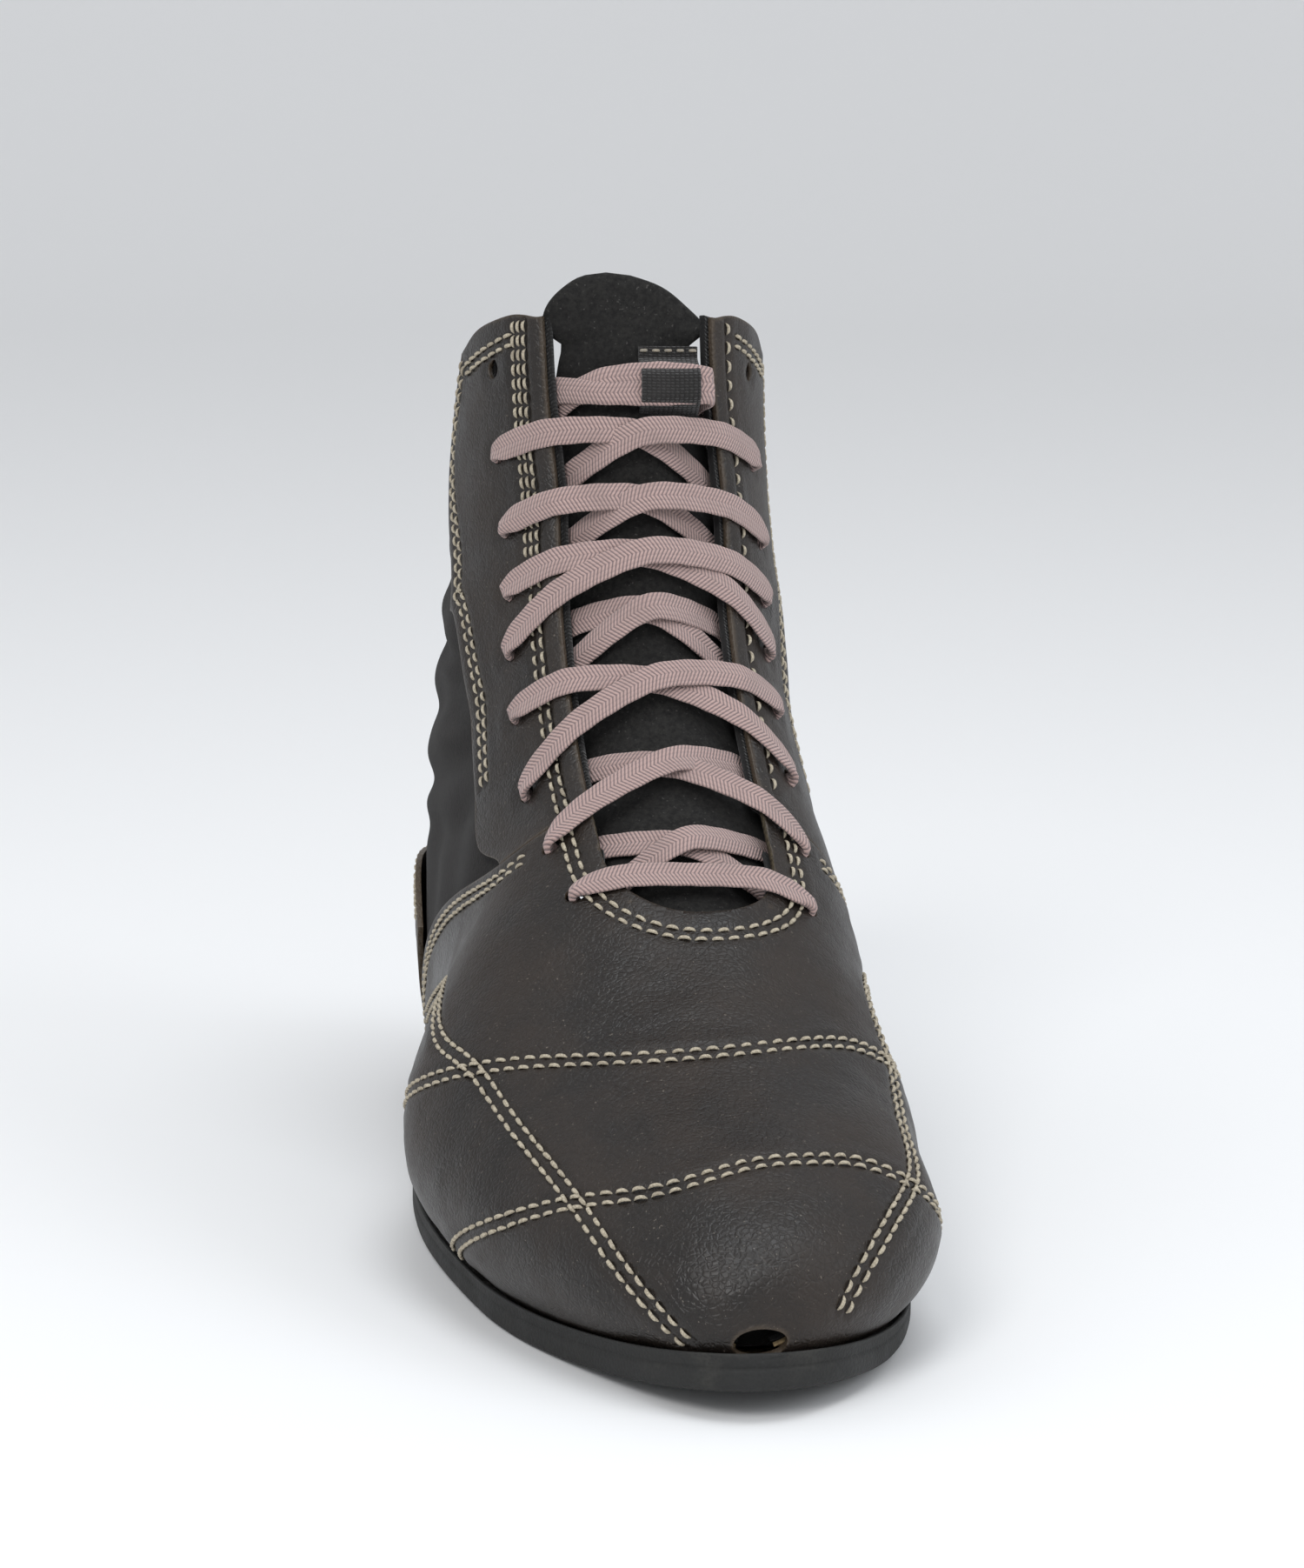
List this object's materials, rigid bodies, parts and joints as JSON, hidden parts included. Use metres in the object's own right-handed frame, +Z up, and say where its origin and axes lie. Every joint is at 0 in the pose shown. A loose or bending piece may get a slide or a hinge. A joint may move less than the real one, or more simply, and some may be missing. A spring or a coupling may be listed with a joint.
{
  "type": "boxing boot",
  "caption": "High-top lace-up boxing boot: leather vamp and eyestays, soft ankle quarters, padded tongue with a folding top, flat lace, thin wrapped rubber sole.",
  "frame": {"origin": "centre of the boot's bounding box at the underside of the sole, without the lace", "axes": "+Y from the toe towards the heel, +X towards the big-toe side (right foot), +Z up the shaft"},
  "size_m": [0.1117, 0.3055, 0.2178],
  "materials": {
    "leather": "satin, very dark brown",
    "fabric": "matt woven suede-like cloth, near black",
    "lining": "matt woven lining",
    "rubber": "matt, fine texture",
    "foam": "soft open foam",
    "board": "matt fibre board",
    "felt": "matt felt with light specks",
    "webbing": "woven tape",
    "lace": "matt flat braid",
    "aglet": "satin"
  },
  "bodies": {
    "boot": {"outsole": "rubber", "midsole": "foam", "insole_board": "board", "sockliner": "lining", "vamp": "leather", "toe_puff": "board", "vamp_lining": "lining", "eyestay_medial": "leather", "eyestay_backing_medial": "lining", "quarter_medial": "fabric", "quarter_lining_medial": "lining", "collar_foam_medial": "foam", "heel_stiffener_medial": "board", "heel_cover_medial": "leather", "eyestay_lateral": "leather", "eyestay_backing_lateral": "lining", "quarter_lateral": "fabric", "quarter_lining_lateral": "lining", "collar_foam_lateral": "foam", "heel_stiffener_lateral": "board", "heel_cover_lateral": "leather", "backstay": "leather", "tongue_lower": "felt", "lace_loop": "webbing", "lace": "lace", "aglet_a": "aglet", "aglet_b": "aglet"},
    "tongue_top": {"tongue_flap": "felt"}
  },
  "joints": [
    {"name": "tongue_top_fold", "type": "hinge", "parent": "boot", "child": "tongue_top", "pos_m": [0.00164, 0.036, 0.20392], "axis": [1, 0, 0], "range_deg": [-20, 60], "stiffness_Nm_per_rad": 0.02}
  ]
}
